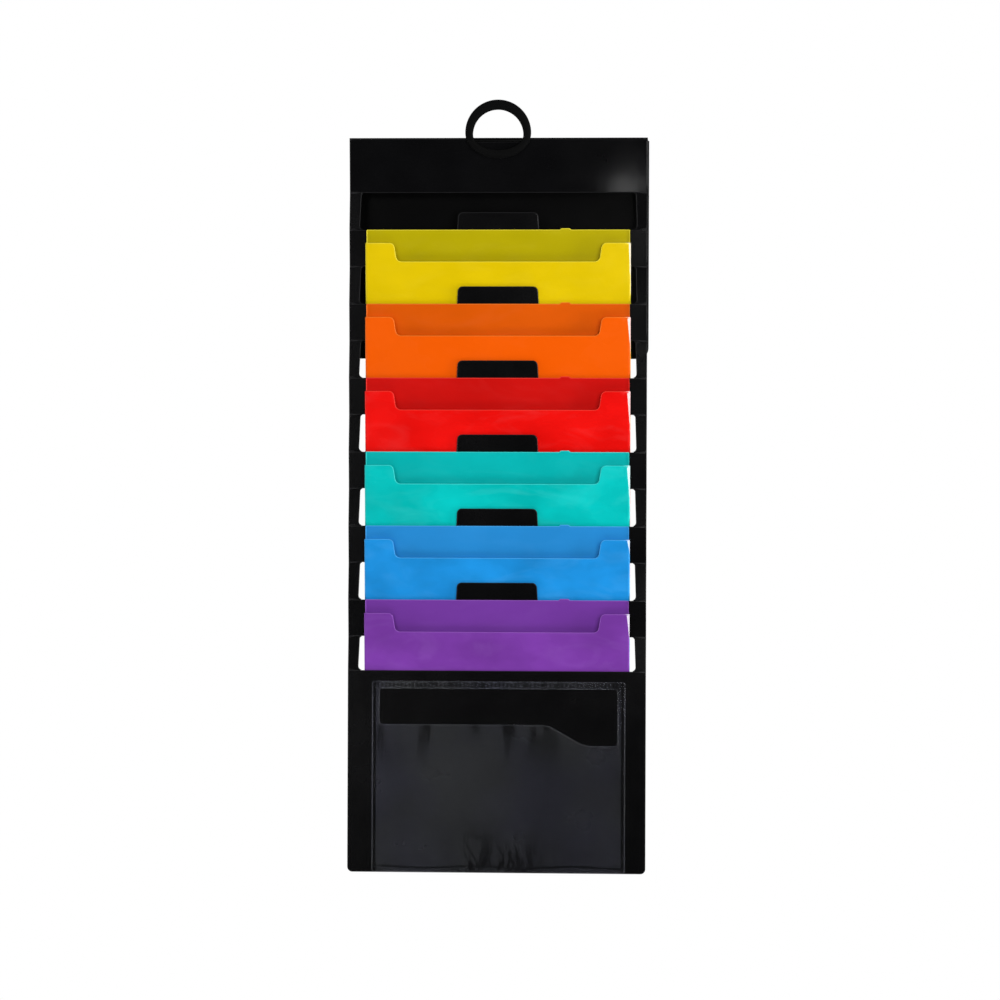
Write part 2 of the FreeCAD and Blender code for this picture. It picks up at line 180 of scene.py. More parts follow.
# ---------------------------------------------------------------- outlines

def rounded(corners, pieces=6):
    """Outline from corners (x, z, radius), each corner rounded by an arc."""
    points = []
    count = len(corners)
    for i, (x, z, radius) in enumerate(corners):
        here = Vector((x, z))
        if radius <= 0:
            points.append(here)
            continue
        before = (Vector(corners[i - 1][:2]) - here).normalized()
        after = (Vector(corners[(i + 1) % count][:2]) - here).normalized()
        half = math.acos(max(-1.0, min(1.0, before.dot(after)))) / 2
        middle = here + (before + after).normalized() * radius / math.sin(half)
        start = here + before * radius / math.tan(half) - middle
        end = here + after * radius / math.tan(half) - middle
        swing = start.angle_signed(end)
        for n in range(pieces + 1):
            points.append(middle + Matrix.Rotation(-swing * n / pieces, 2) @ start)
    return points


def divided(points, step):
    """The same outline with points along its long runs."""
    result = []
    count = len(points)
    for i, start in enumerate(points):
        end = points[(i + 1) % count]
        parts = max(1, round((end - start).length / step))
        for n in range(parts):
            result.append(start.lerp(end, n / parts))
    return result


def inset(points, distance):
    """The outline moved inwards (to the left of its direction), point by point."""
    result = []
    count = len(points)
    for i, here in enumerate(points):
        before = (here - points[i - 1]).normalized()
        after = (points[(i + 1) % count] - here).normalized()
        left = Vector((-before.y, before.x))
        right = Vector((-after.y, after.x))
        result.append(here + (left + right) * distance / (1 + left.dot(right)))
    return result


def area(points):
    return sum(a.x * b.y - b.x * a.y for a, b in zip(points, points[1:] + points[:1])) / 2


def inside(point, loop):
    """Whether a point is inside an outline, by counting crossings."""
    found = False
    for a, b in zip(loop, loop[1:] + loop[:1]):
        if (a.y > point.y) != (b.y > point.y):
            if point.x < a.x + (b.x - a.x) * (point.y - a.y) / (b.y - a.y):
                found = not found
    return found


def inner_points(loops, step, extra):
    """Grid points that lie inside the first outline and outside the rest, clear of all of them."""
    outer = loops[0]
    low = Vector((min(p.x for p in outer), min(p.y for p in outer)))
    high = Vector((max(p.x for p in outer), max(p.y for p in outer)))
    rim = [p for loop in loops for p in loop]
    across = max(2, round((high.x - low.x) / step))
    up = max(2, round((high.y - low.y) / step))
    candidates = list(extra)
    for i in range(1, across):
        for j in range(1, up):
            shift = 0.5 if j % 2 else 0.0
            candidates.append(Vector((
                low.x + (high.x - low.x) * (i + shift - 0.25) / across,
                low.y + (high.y - low.y) * j / up,
            )))
    clear = step * 0.35
    kept = []
    for n, p in enumerate(candidates):
        reach = 0.3 if n < len(extra) else clear
        near = rim if n < len(extra) else rim + extra
        if not inside(p, outer) or any(inside(p, hole) for hole in loops[1:]):
            continue
        if any(abs(q.x - p.x) < reach and abs(q.y - p.y) < reach for q in near):
            continue
        kept.append(p)
    return kept


# ---------------------------------------------------------------- meshes

def finish_piece(name, body, points, faces, rim, place, material, stands_for, sharp=50):
    """Make the object, put it in place, and let it ride on its body."""
    mesh = bpy.data.meshes.new(name)
    mesh.from_pydata([place @ Vector(p) for p in points], [], faces)
    if rim is not None:
        attribute = mesh.attributes.new("rim", "FLOAT", "POINT")
        attribute.data.foreach_set("value", rim)
    work = bmesh.new()
    work.from_mesh(mesh)
    bmesh.ops.recalc_face_normals(work, faces=work.faces)
    work.to_mesh(mesh)
    work.free()
    mesh.shade_smooth()
    mesh.set_sharp_from_angle(angle=math.radians(sharp))
    mesh.materials.append(material)
    thing = bpy.data.objects.new(name, mesh)
    bpy.context.scene.collection.objects.link(thing)
    if body:
        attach(thing, body)
    if stands_for:
        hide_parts(*stands_for)
    return thing


def plate(name, body, loops, depth, place, material, node, shape=None, step=MESH_STEP,
          extra=(), band=EDGE_BAND, tint=None):
    """A sheet with broken edges. depth is its front and back, shape an added bow in depth, and
    tint how far a point inside the sheet takes the painted highlight of a cut edge."""
    front, back = depth
    loops = [divided(loop, step) for loop in loops]
    loops = [loops[0] if area(loops[0]) > 0 else loops[0][::-1]] + [
        hole if area(hole) < 0 else hole[::-1] for hole in loops[1:]
    ]
    chamfer = min(EDGE_CHAMFER, (back - front) * 0.3)
    rings = [[inset(loop, d) for loop in loops] for d in (0.0, chamfer, band)]
    flat = [p for loop in rings[2] for p in loop]
    edges = []
    for loop in rings[2]:
        start = sum(len(done) for done in rings[2][:rings[2].index(loop)])
        count = len(loop)
        edges += [(start + i, start + (i + 1) % count) for i in range(count)]
    cap_points = flat + inner_points(rings[2], step, list(extra))
    made = delaunay_2d_cdt(cap_points, edges, [], 1, 1e-5)
    cap = made[0]
    triangles = [t for t in made[2] if not in_a_hole(t, cap, rings[2][1:])]

    points, rim = [], []

    def add(p, y, value):
        bow = shape(p.x, p.y) if shape else 0.0
        points.append((p.x, y + bow, p.y))
        rim.append(value)
        return len(points) - 1

    faces = []
    sides = []
    for y, inward in ((front, 1), (back, -1)):
        outer = [
            [add(p, y + inward * chamfer, edge_value(p, tint)) for p in loop] for loop in rings[0]
        ]
        broken = [[add(p, y, edge_value(p, tint)) for p in loop] for loop in rings[1]]
        start = len(points)
        for p in cap:
            add(p, y, tint(p.x, p.y) if tint else 0.0)
        inner = []
        for loop in rings[2]:
            inner.append([start + nearest(cap, p) for p in loop])
        for a, b in ((outer, broken), (broken, inner)):
            for first, second in zip(a, b):
                faces += strip(first, second)
        faces += [tuple(start + i for i in t) for t in triangles]
        sides.append(outer)
    for first, second in zip(*sides):
        faces += strip(first, second)
    return finish_piece(name, body, points, faces, rim, place, material, [node])


def edge_value(p, tint):
    return max(1.0, tint(p.x, p.y)) if tint else 1.0


def in_a_hole(triangle, points, holes):
    centre = sum((points[i] for i in triangle), Vector((0, 0))) / 3
    return any(inside(centre, hole) for hole in holes)


def nearest(points, wanted):
    return min(range(len(points)), key=lambda i: (points[i] - wanted).length_squared)


def strip(first, second):
    """Quads between two closed rings of the same count."""
    count = len(first)
    return [
        (first[i], first[(i + 1) % count], second[(i + 1) % count], second[i])
        for i in range(count)
    ]


def swept(section, levels, to_point):
    """A closed solid: a section swept through levels, capped at both ends."""
    points, faces = [], []
    count = len(section)
    for level in levels:
        for p in section:
            points.append(to_point(p, level))
    for n in range(len(levels) - 1):
        lower = list(range(n * count, (n + 1) * count))
        upper = list(range((n + 1) * count, (n + 2) * count))
        faces += strip(lower, upper)
    faces.append(tuple(range(count)))
    last = (len(levels) - 1) * count
    faces.append(tuple(range(last, last + count)))
    return points, faces


def add_part(points, faces, more_points, more_faces):
    """Join another part's points and faces to a piece's."""
    offset = len(points)
    points += more_points
    faces += [tuple(offset + i for i in f) for f in more_faces]


def thick_line(line, gauge):
    """Closed section of a bent sheet, from its middle line and its thickness."""
    left, right = [], []
    count = len(line)
    for i, here in enumerate(line):
        ahead = line[min(i + 1, count - 1)] - line[max(i - 1, 0)]
        side = Vector((-ahead.y, ahead.x)).normalized() * gauge / 2
        left.append(here + side)
        right.append(here - side)
    return left + right[::-1]


def levels_between(low, high, step):
    parts = max(1, round((high - low) / step))
    return [low + (high - low) * n / parts for n in range(parts + 1)]


# ---------------------------------------------------------------- materials

CORNER_PAINTED_HIGHLIGHT = 0.62       # how far towards white the bent corners' colour is moved, a painted highlight
VEIL = (0.14, 0.215)      # least and most opacity of the film's grey veil, a painted reflection
VEIL_ACROSS = (1.14, 0.76)        # its gain from the film's left side to its right
VEIL_BOTTOM = 0.82        # its gain at the bottom edge
BAND_GAIN = 1.5           # its gain along the top weld
RIM_VEIL = 0.26           # what a cut edge adds to it, a painted highlight


def new_material(name, colour, roughness):
    material = bpy.data.materials.new(name)
    material.use_nodes = True
    nodes = material.node_tree.nodes
    shader = nodes["Principled BSDF"]
    shader.inputs["Base Color"].default_value = (*colour, 1.0)
    shader.inputs["Roughness"].default_value = roughness
    return material, shader


def link(material, output, target):
    material.node_tree.links.new(output, target)


def noise(material, scale, detail=3.0, stretch=(1.0, 1.0, 1.0), rough=0.5, swirl=0.0):
    """Noise in object space, scale in features per metre."""
    nodes = material.node_tree.nodes
    where = nodes.new("ShaderNodeTexCoord")
    mapping = nodes.new("ShaderNodeMapping")
    mapping.inputs["Scale"].default_value = stretch
    made = nodes.new("ShaderNodeTexNoise")
    made.inputs["Scale"].default_value = scale
    made.inputs["Detail"].default_value = detail
    made.inputs["Roughness"].default_value = rough
    made.inputs["Distortion"].default_value = swirl
    link(material, where.outputs["Object"], mapping.inputs["Vector"])
    link(material, mapping.outputs["Vector"], made.inputs["Vector"])
    return made.outputs["Fac"]


def ramp(material, source, stops):
    """Colour ramp from stops (place, colour)."""
    made = material.node_tree.nodes.new("ShaderNodeValToRGB")
    made.color_ramp.elements[0].position = stops[0][0]
    made.color_ramp.elements[0].color = (*stops[0][1], 1.0)
    made.color_ramp.elements[1].position = stops[-1][0]
    made.color_ramp.elements[1].color = (*stops[-1][1], 1.0)
    for where, colour in stops[1:-1]:
        made.color_ramp.elements.new(where).color = (*colour, 1.0)
    link(material, source, made.inputs["Fac"])
    return made.outputs["Color"]


def mixed(material, factor, first, second):
    """Colour mix. first and second are sockets or colours, factor a socket or a number."""
    made = material.node_tree.nodes.new("ShaderNodeMix")
    made.data_type = "RGBA"
    sockets = (made.inputs[0], made.inputs[6], made.inputs[7])
    for socket, value in zip(sockets, (factor, first, second)):
        if isinstance(value, bpy.types.NodeSocket):
            link(material, value, socket)
        elif isinstance(value, tuple):
            socket.default_value = (*value, 1.0)
        else:
            socket.default_value = value
    return made.outputs[2]


def mapped(material, source, low, high, start=0.0, end=1.0):
    """source, held between start and end, mapped to low .. high."""
    made = material.node_tree.nodes.new("ShaderNodeMapRange")
    for name, value in (("From Min", start), ("From Max", end), ("To Min", low), ("To Max", high)):
        made.inputs[name].default_value = value
    link(material, source, made.inputs["Value"])
    return made.outputs["Result"]


def bumps(material, shader, layers):
    """Chain of bumps, each (height socket, distance in metres, strength)."""
    normal = None
    for height, distance, strength in layers:
        made = material.node_tree.nodes.new("ShaderNodeBump")
        made.inputs["Distance"].default_value = distance
        made.inputs["Strength"].default_value = strength
        link(material, height, made.inputs["Height"])
        if normal is not None:
            link(material, normal, made.inputs["Normal"])
        normal = made.outputs["Normal"]
    link(material, normal, shader.inputs["Normal"])


def rim_value(material):
    made = material.node_tree.nodes.new("ShaderNodeAttribute")
    made.attribute_name = "rim"
    return made.outputs["Fac"]


def maths(material, operation, first, second=None):
    """One arithmetic node. first and second are sockets or numbers."""
    made = material.node_tree.nodes.new("ShaderNodeMath")
    made.operation = operation
    for socket, value in zip(made.inputs, (first, second)):
        if isinstance(value, bpy.types.NodeSocket):
            link(material, value, socket)
        elif value is not None:
            socket.default_value = value
    return made.outputs["Value"]


def times(material, first, second):
    return maths(material, "MULTIPLY", first, second)


def largest(material, first, second):
    return maths(material, "MAXIMUM", first, second)


def band_at(material, source, centre, width):
    """1 where source is at centre, fading to 0 at the given distance from it."""
    away = maths(material, "ABSOLUTE", maths(material, "SUBTRACT", source, centre))
    return mapped(material, away, 1.0, 0.0, width * 0.5, width)


def black_sheet(name, colour, roughness, edge, gloss=0.12):
    """Black polypropylene sheet: fine grain, faint scuffs, cut edges painted a little lighter as a
    highlight.
    """
    material, shader = new_material(name, colour, roughness)
    cloud = noise(material, 22.0, 4.0)
    fine = noise(material, 900.0, 2.0)
    dark = tuple(c * 0.9 for c in colour)
    light = tuple(c * 1.15 for c in colour)
    tone = ramp(material, cloud, [(0.35, dark), (0.7, light)])
    # the rim attribute mixes in the edge colour: a painted highlight along the cut edges
    link(material, mixed(material, rim_value(material), tone, edge), shader.inputs["Base Color"])
    uneven = mapped(material, cloud, roughness - 0.02, roughness + 0.03, 0.3, 0.7)
    link(material, uneven, shader.inputs["Roughness"])
    shader.inputs["Specular IOR Level"].default_value = gloss
    slow = noise(material, 9.0, 2.0, (1.0, 1.0, 1.6))
    bumps(material, shader, [(slow, 0.0006, 0.3), (fine, 0.00005, 0.35)])
    return material


def lighter(colour, share):
    """A colour moved towards white by a share of the way."""
    return tuple(c + (1.0 - c) * share for c in colour)


def coloured_sheet(name, colour, edge, roughness, cloud_and_sheen, gloss):
    """Coloured translucent polypropylene: cloudy tone with patches of painted sheen, cut edges with
    a painted highlight, and a bent corner painted whitish as a highlight. The rim attribute is 1 at
    an edge and 2 on the corner."""
    material, shader = new_material(name, colour, roughness)
    shader.inputs["Specular IOR Level"].default_value = gloss
    cloud = noise(material, 13.0, 3.0, (1.0, 1.0, 1.7))
    fine = noise(material, 1100.0, 2.0)
    dark = tuple(c * (1.0 - cloud_and_sheen) for c in colour)
    light = tuple(min(1.0, c * (1.0 + cloud_and_sheen * 0.8)) for c in colour)
    tone = ramp(material, cloud, [(0.35, dark), (0.68, light)])
    # lighter swirls mixed into the colour: painted sheen standing for patches of gloss
    swirl = noise(material, 19.0, 3.0, (0.8, 1.0, 1.9), 0.55, 1.4)
    painted_sheen = mapped(material, swirl, 0.0, cloud_and_sheen * 0.55, 0.5, 0.72)
    tone = mixed(material, painted_sheen, tone, tuple(min(1.0, c * 1.3 + 0.14) for c in colour))
    rim = rim_value(material)
    # the edge colour at the cut edges is a painted highlight
    tone = mixed(material, rim, tone, edge)
    # the bent corner's colour is moved towards white: a painted highlight
    on_corner = mapped(material, rim, 0.0, 1.0, 1.1, 1.9)
    tone = mixed(material, on_corner, tone, lighter(colour, CORNER_PAINTED_HIGHLIGHT))
    link(material, tone, shader.inputs["Base Color"])
    uneven = mapped(material, cloud, roughness - 0.04, roughness + 0.05, 0.3, 0.7)
    link(material, uneven, shader.inputs["Roughness"])
    ripple = noise(material, 16.0, 3.0, (1.0, 1.0, 1.5))
    bumps(material, shader, [(ripple, 0.002, 0.35), (fine, 0.00004, 0.3)])
    return material


# lighter colour of the black sheets' cut edges: a painted highlight
BLACK_EDGE_HIGHLIGHT = (0.016, 0.016, 0.017)
# lighter grey of the upper creases: partly stress-whitened plastic at the fold, partly a painted
# highlight along it
CREASE_GREY = (0.02, 0.02, 0.021)

BLACK = black_sheet("black_sheet_satin", (0.0017, 0.0017, 0.0020), 0.25, BLACK_EDGE_HIGHLIGHT)
# the header's black is lighter than the other black sheets: painted sheen
HEADER = black_sheet("black_sheet_gloss_lit", (0.0034, 0.0034, 0.0038), 0.13, BLACK_EDGE_HIGHLIGHT)
# the back cover's black is darker than the other black sheets: painted shade behind the straps and
# header
COVER_INSIDE = black_sheet("black_sheet_matt_shaded", (0.0005, 0.0005, 0.0006), 0.32, BLACK_EDGE_HIGHLIGHT, 0.07)
CREASE = black_sheet("black_crease", CREASE_GREY, 0.42, CREASE_GREY)
RING = black_sheet("ring_moulded", (0.0007, 0.0007, 0.0008), 0.45, (0.001, 0.001, 0.001), 0.06)

FRONT_COLOURS = {
    "yellow": (0.84, 0.60, 0.0005),
    "orange": (1.0, 0.120, 0.0005),
    "red": (1.0, 0.0050, 0.0035),
    "teal": (0.001, 0.59, 0.56),
    "blue": (0.014, 0.30, 0.78),
    "purple": (0.21, 0.049, 0.40),
}
# back panels: darker copies of the fronts' colours, painted shade for the panels set back behind
# the fronts
BACK_SHADED_COLOURS = {
    "yellow": (0.52, 0.43, 0.0005),
    "orange": (0.80, 0.110, 0.0005),
    "red": (0.66, 0.0050, 0.0035),
    "teal": (0.001, 0.51, 0.50),
    "blue": (0.022, 0.28, 0.71),
    "purple": (0.185, 0.045, 0.37),
}
# lighter colours of the coloured sheets' cut edges: painted highlight for the light the edges
# gather
EDGE_HIGHLIGHT_COLOURS = {
    "yellow": (1.0, 0.86, 0.06),
    "orange": (1.0, 0.24, 0.03),
    "red": (1.0, 0.055, 0.04),
    "teal": (0.06, 0.76, 0.72),
    "blue": (0.08, 0.44, 0.92),
    "purple": (0.32, 0.11, 0.54),
}
# uneven tone of each sheet, with patches of painted sheen
CLOUD_AND_SHEEN = {
    "yellow": 0.05, "orange": 0.02, "red": 0.16, "teal": 0.16, "blue": 0.18, "purple": 0.14,
}
FRONTS = {
    name: coloured_sheet(f"{name}_front_gloss", FRONT_COLOURS[name], EDGE_HIGHLIGHT_COLOURS[name],
                         roughness=0.26, cloud_and_sheen=CLOUD_AND_SHEEN[name], gloss=0.07)
    for name in COLOURS
}
BACKS = {
    name: coloured_sheet(f"{name}_shaded_inner_satin", BACK_SHADED_COLOURS[name], EDGE_HIGHLIGHT_COLOURS[name],
                         roughness=0.34, cloud_and_sheen=0.05, gloss=0.06)
    for name in COLOURS
}


def film_material(low, high):
    """Clear film over black: a grey veil of painted reflection, thinned along pressed weld lines,
    vertical slack and wrinkles. low and high are its corners in millimetres; the sheet hangs plumb."""
    material, shader = new_material("clear_film_gloss", (0.075, 0.078, 0.088), 0.18)
    shader.inputs["Specular IOR Level"].default_value = 0.6
    where = material.node_tree.nodes.new("ShaderNodeTexCoord")
    shifted = material.node_tree.nodes.new("ShaderNodeMapping")
    shifted.vector_type = "POINT"
    origin = COVER_PLACE.translation
    shifted.inputs["Location"].default_value = (-(low.x + high.x) / 2 * MM, 0.0, -origin.z)
    parts = material.node_tree.nodes.new("ShaderNodeSeparateXYZ")
    link(material, where.outputs["Object"], shifted.inputs["Vector"])
    link(material, shifted.outputs["Vector"], parts.inputs["Vector"])
    x, z = parts.outputs["X"], parts.outputs["Z"]
    side = maths(material, "ABSOLUTE", x)
    half = (high.x - low.x) / 2 * MM
    top = high.z * MM
    bottom = low.z * MM
    sill = top - MOUTH_LEFT_DROP * MM

    side_line = band_at(material, side, half - SIDE_WELD * MM, 2.2 * MM)
    ticks = maths(material, "SINE", times(material, x, 2 * math.pi / (TICK_PITCH * MM)))
    ticks = mapped(material, ticks, 0.12, 1.0, 0.1, 0.6)
    top_line = times(material, band_at(material, z, top - TOP_WELD * MM, 3.6 * MM), ticks)
    welds = largest(material, side_line, times(material, top_line, 0.95))

    slack = mapped(material, noise(material, 62.0, 2.0, (1.0, 1.0, 0.16)), 0.0, 0.8, 0.52, 0.62)
    upper = mapped(material, z, 0.0, 1.0, sill - 50 * MM, sill - 5 * MM)
    slack = times(material, slack, upper)

    lines = noise(material, 46.0, 3.0, (1.5, 1.0, 0.6), 0.5, 0.6)
    wrinkles = band_at(material, lines, 0.5, 0.045)
    blots = noise(material, 52.0, 2.0, (1.4, 1.0, 0.5))
    wrinkles = largest(material, wrinkles, mapped(material, blots, 0.0, 0.85, 0.54, 0.62))
    centre_line = band_at(material, x, -4 * MM, 70 * MM)
    lower = mapped(material, z, 1.0, 0.0, bottom + 14 * MM, bottom + 66 * MM)
    wrinkled = times(material, centre_line, lower)
    wrinkles = times(material, wrinkles, wrinkled)

    wave = maths(material, "SINE", times(material, x, 55.0))
    wavy = maths(material, "ADD", z, times(material, wave, 1.2 * MM))
    hem = band_at(material, wavy, bottom + HEM * MM, 1.6 * MM)

    dark = largest(material, slack, times(material, wrinkles, 0.85))
    dark = largest(material, dark, times(material, hem, 0.7))
    dark = largest(material, dark, times(material, welds, 0.97))
    # the veil, grey at partial opacity, paints the film's reflection of the surroundings
    mottle = mapped(material, noise(material, 11.0, 4.0), *VEIL, 0.3, 0.7)
    fade = mapped(material, z, VEIL_BOTTOM, 1.0, bottom, sill)
    veil = times(material, mottle, fade)
    veil = times(material, veil, mapped(material, dark, 1.0, 0.0))
    across = mapped(material, x, *VEIL_ACROSS, -half, half)
    band = mapped(material, band_at(material, z, top - TOP_WELD * MM, 5.5 * MM), 1.0, BAND_GAIN)
    veil = times(material, veil, times(material, across, band))
    rim = times(material, rim_value(material), RIM_VEIL)
    link(material, maths(material, "ADD", veil, rim), shader.inputs["Alpha"])

    greys = [(0.4, (0.075, 0.079, 0.086)), (0.62, (0.072, 0.074, 0.100))]
    tone = ramp(material, noise(material, 9.0, 2.0), greys)
    link(material, tone, shader.inputs["Base Color"])
    creases = noise(material, 26.0, 5.0, (1.6, 1.0, 0.8), 0.62)
    bumps(material, shader, [(creases, 0.0015, 0.4)])
    return material


def weld_material():
    """Pressed margin behind the film: a dim grey strip with a fine uneven grain."""
    material, shader = new_material("clear_weld", (0.06, 0.06, 0.066), 0.6)
    grain = noise(material, 300.0, 3.0)
    link(material, mapped(material, grain, 0.02, 0.06, 0.3, 0.7), shader.inputs["Alpha"])
    tone = ramp(material, grain, [(0.3, (0.045, 0.045, 0.05)), (0.7, (0.07, 0.07, 0.076))])
    link(material, tone, shader.inputs["Base Color"])
    bumps(material, shader, [(grain, 0.0002, 0.4)])
    return material


WELD = weld_material()


# ---------------------------------------------------------------- folded black sheet

def make_header():
    low, high = extent("header_panel", FRONT_CREASE)
    half = NOTCH_WIDTH / 2
    sill = -NOTCH_DEPTH
    outline = rounded([
        (low.x, low.z, 0), (high.x, low.z, 0), (high.x, high.z, 0), (half, high.z, 0),
        (half, sill, NOTCH_ROUND), (-half, sill, NOTCH_ROUND), (-half, high.z, 0),
        (low.x, high.z, 0),
    ])
    plate("header_skin", "header", [outline], (low.y, high.y), FRONT_CREASE, HEADER,
          "header_panel")


def rectangle(low, high, low_round=0, high_round=0):
    """Outline of a panel, with the radii of its two lower and its two upper corners."""
    return rounded([
        (low.x, low.z, low_round), (high.x, low.z, low_round),
        (high.x, high.z, high_round), (low.x, high.z, high_round),
    ])


def make_spine():
    low, high = extent("spine_panel", SPINE_PLACE)
    plate("spine_skin", "spine", [rectangle(low, high)], (low.y, high.y), SPINE_PLACE, BLACK,
          "spine_panel")


def make_back_cover():
    low, high = extent("back_cover", BACK_CREASE)
    plate("back_cover_skin", "back_cover", [rectangle(low, high, BACK_COVER_ROUND)],
          (low.y, high.y), BACK_CREASE, COVER_INSIDE, "back_cover")


def make_straps(level):
    place = STRAP_PLACES[level - 1]
    for side, sign in (("left", -1), ("right", 1)):
        node = f"strap_{side}_{level}"
        low, high = extent(node, place)
        outer = max(abs(low.x), abs(high.x))
        inner = outer - STRAP_WIDTH
        narrow = inner + STRAP_TAPER
        corners = [(outer, low.z, 0), (outer, high.z, 0)]
        corners += quarter(inner, high.z, STRAP_TOP_ROUND, 90, 0)
        corners += quarter(narrow, low.z, STRAP_LOW_ROUND, 0, -90)
        outline = rounded([(sign * x, z, r) for x, z, r in corners])
        plate(f"{node}_skin", f"straps_{level}", [outline], (low.y, high.y), place, BLACK,
              node, step=7.0)


def quarter(x, z, radius, start, end, pieces=5):
    """Points on a rounded inner corner of a strap, whose inner edge is at x and whose end is at z.
    start and end are angles in degrees; start is over 0 at the strap's upper end."""
    middle_x = x - radius
    middle_z = z - radius if start > 0 else z + radius
    made = []
    for n in range(pieces + 1):
        angle = math.radians(start + (end - start) * n / pieces)
        made.append((middle_x + radius * math.cos(angle), middle_z + radius * math.sin(angle), 0))
    return made


def make_crossbar(level):
    place = PANEL_PLACES[level - 1]
    node = f"crossbar_{level}"
    low, high = extent(node, place)
    top = -CREASE_GAP
    outline = rounded([
        (low.x, low.z, 0), (high.x, low.z, 0), (high.x, top, 0), (TAB_BASE / 2, top, 0),
        (TAB_TOP / 2, high.z, TAB_ROUND), (-TAB_TOP / 2, high.z, TAB_ROUND),
        (-TAB_BASE / 2, top, 0), (low.x, top, 0),
    ])
    plate(f"{node}_skin", f"pocket_{level}", [outline], (low.y, high.y), place, BLACK,
          node)


def make_front_cover():
    low, high = extent("front_cover", COVER_PLACE)
    plate("front_cover_skin", "front_cover", [rectangle(low, high, FRONT_COVER_ROUND)],
          (low.y, high.y), COVER_PLACE, BLACK, "front_cover")


# ---------------------------------------------------------------- pockets

def curl(x, half, radius):
    """How far a sheet has turned back where it bends round, almost square, at its side edges."""
    past = min(radius * 0.97, max(0.0, abs(x) - (half - radius)))
    return radius - math.sqrt(radius * radius - past * past)


def facet_width(z, top, facet):
    """Width of the bent corner at a height: it narrows downwards to nothing."""
    width, drop = facet
    return width * max(0.0, 1.0 - max(0.0, (top - z) / drop))


def facet_bow(x, z, half, top, facet):
    """How far the right shoulder's outer corner is bent back."""
    past = max(0.0, x - (half - facet_width(z, top, facet)))
    return past * math.tan(math.radians(FACET_ANGLE))


def front_bow(half, top, facet):
    """Bow of a front panel: curled sides, and the right shoulder's outer corner bent back."""
    def bow(x, z):
        return max(facet_bow(x, z, half, top, facet), curl(x, half, FRONT_CURL))
    return bow


def facet_painted_highlight(half, top, facet):
    """The bent corner of the right shoulder gets a painted highlight: 2 all over it, and 0 beside
    it.
    """
    def tint(x, z):
        return 2.0 if x > half - facet_width(z, top, facet) + 0.05 else 0.0
    return tint


def side_columns(half, low, high, radius, step=4.0):
    """Close columns of points beside both side edges, so that a curl is smooth."""
    made = []
    for part in CURL_COLUMNS:
        for z in levels_between(low + 2.0, high - 2.0, step):
            for sign in (-1, 1):
                made.append(Vector((sign * (half - radius * part - 0.25), z)))
    return made


def make_pocket(level, colour):
    place = PANEL_PLACES[level - 1]
    body = f"pocket_{level}"
    make_pocket_front(colour, body, place)
    make_pocket_back(colour, body, place)
    make_gussets(colour, body, place)


def make_pocket_front(colour, body, place):
    node = f"{colour}_pocket_front"
    low, high = extent(node, place)
    top = high.z
    sill = top - RECESS_DROP
    outline = rounded([
        (low.x, low.z, 0), (high.x, low.z, 0), (high.x, top, SHOULDER_ROUND),
        (RECESS_TOP / 2, top, RECESS_ROUND), (RECESS_SILL / 2, sill, RECESS_ROUND),
        (-RECESS_SILL / 2, sill, RECESS_ROUND), (-RECESS_TOP / 2, top, RECESS_ROUND),
        (low.x, top, SHOULDER_ROUND),
    ])
    extra = side_columns(high.x, low.z, top, FRONT_CURL)
    facet = FACETS[colour]
    width, drop = facet
    for n in range(FACET_ROWS):
        part = (n + 0.5) / FACET_ROWS
        for beside in FACET_COLUMNS:
            extra.append(Vector((high.x - width * (1 - part) + beside, top - drop * part)))
    plate(f"{node}_skin", body, [outline], (low.y, high.y), place, FRONTS[colour], node,
          shape=front_bow(high.x, top, facet), step=6.0, extra=extra,
          tint=facet_painted_highlight(high.x, top, facet))


def make_pocket_back(colour, body, place):
    node = f"{colour}_pocket_back"
    low, high = extent(node, place)
    outline = rounded([
        (low.x, low.z, 0), (high.x, low.z, 0), (high.x, 0, SHOULDER_ROUND),
        (NUB_PLACE + NUB_BASE / 2, 0, NUB_ROUND), (NUB_PLACE + NUB_TOP / 2, high.z, NUB_ROUND),
        (NUB_PLACE - NUB_TOP / 2, high.z, NUB_ROUND), (NUB_PLACE - NUB_BASE / 2, 0, NUB_ROUND),
        (low.x, 0, SHOULDER_ROUND),
    ])
    plate(f"{node}_skin", body, [outline], (low.y, high.y), place, BACKS[colour], node,
          shape=lambda x, z: -curl(x, high.x, BACK_CURL),
          extra=side_columns(high.x, low.z, 0, BACK_CURL))


def folded(edge, first, last, fold, gauge):
    """Section of a gusset: a strip from the first depth to the last, folded in its middle."""
    line = [Vector((edge, first)), Vector((edge + fold, (first + last) / 2)), Vector((edge, last))]
    parts = [n / FOLD_STEPS for n in range(FOLD_STEPS)]
    middle_line = [a.lerp(b, part) for a, b in zip(line, line[1:]) for part in parts]
    return thick_line(middle_line + [line[2]], gauge)


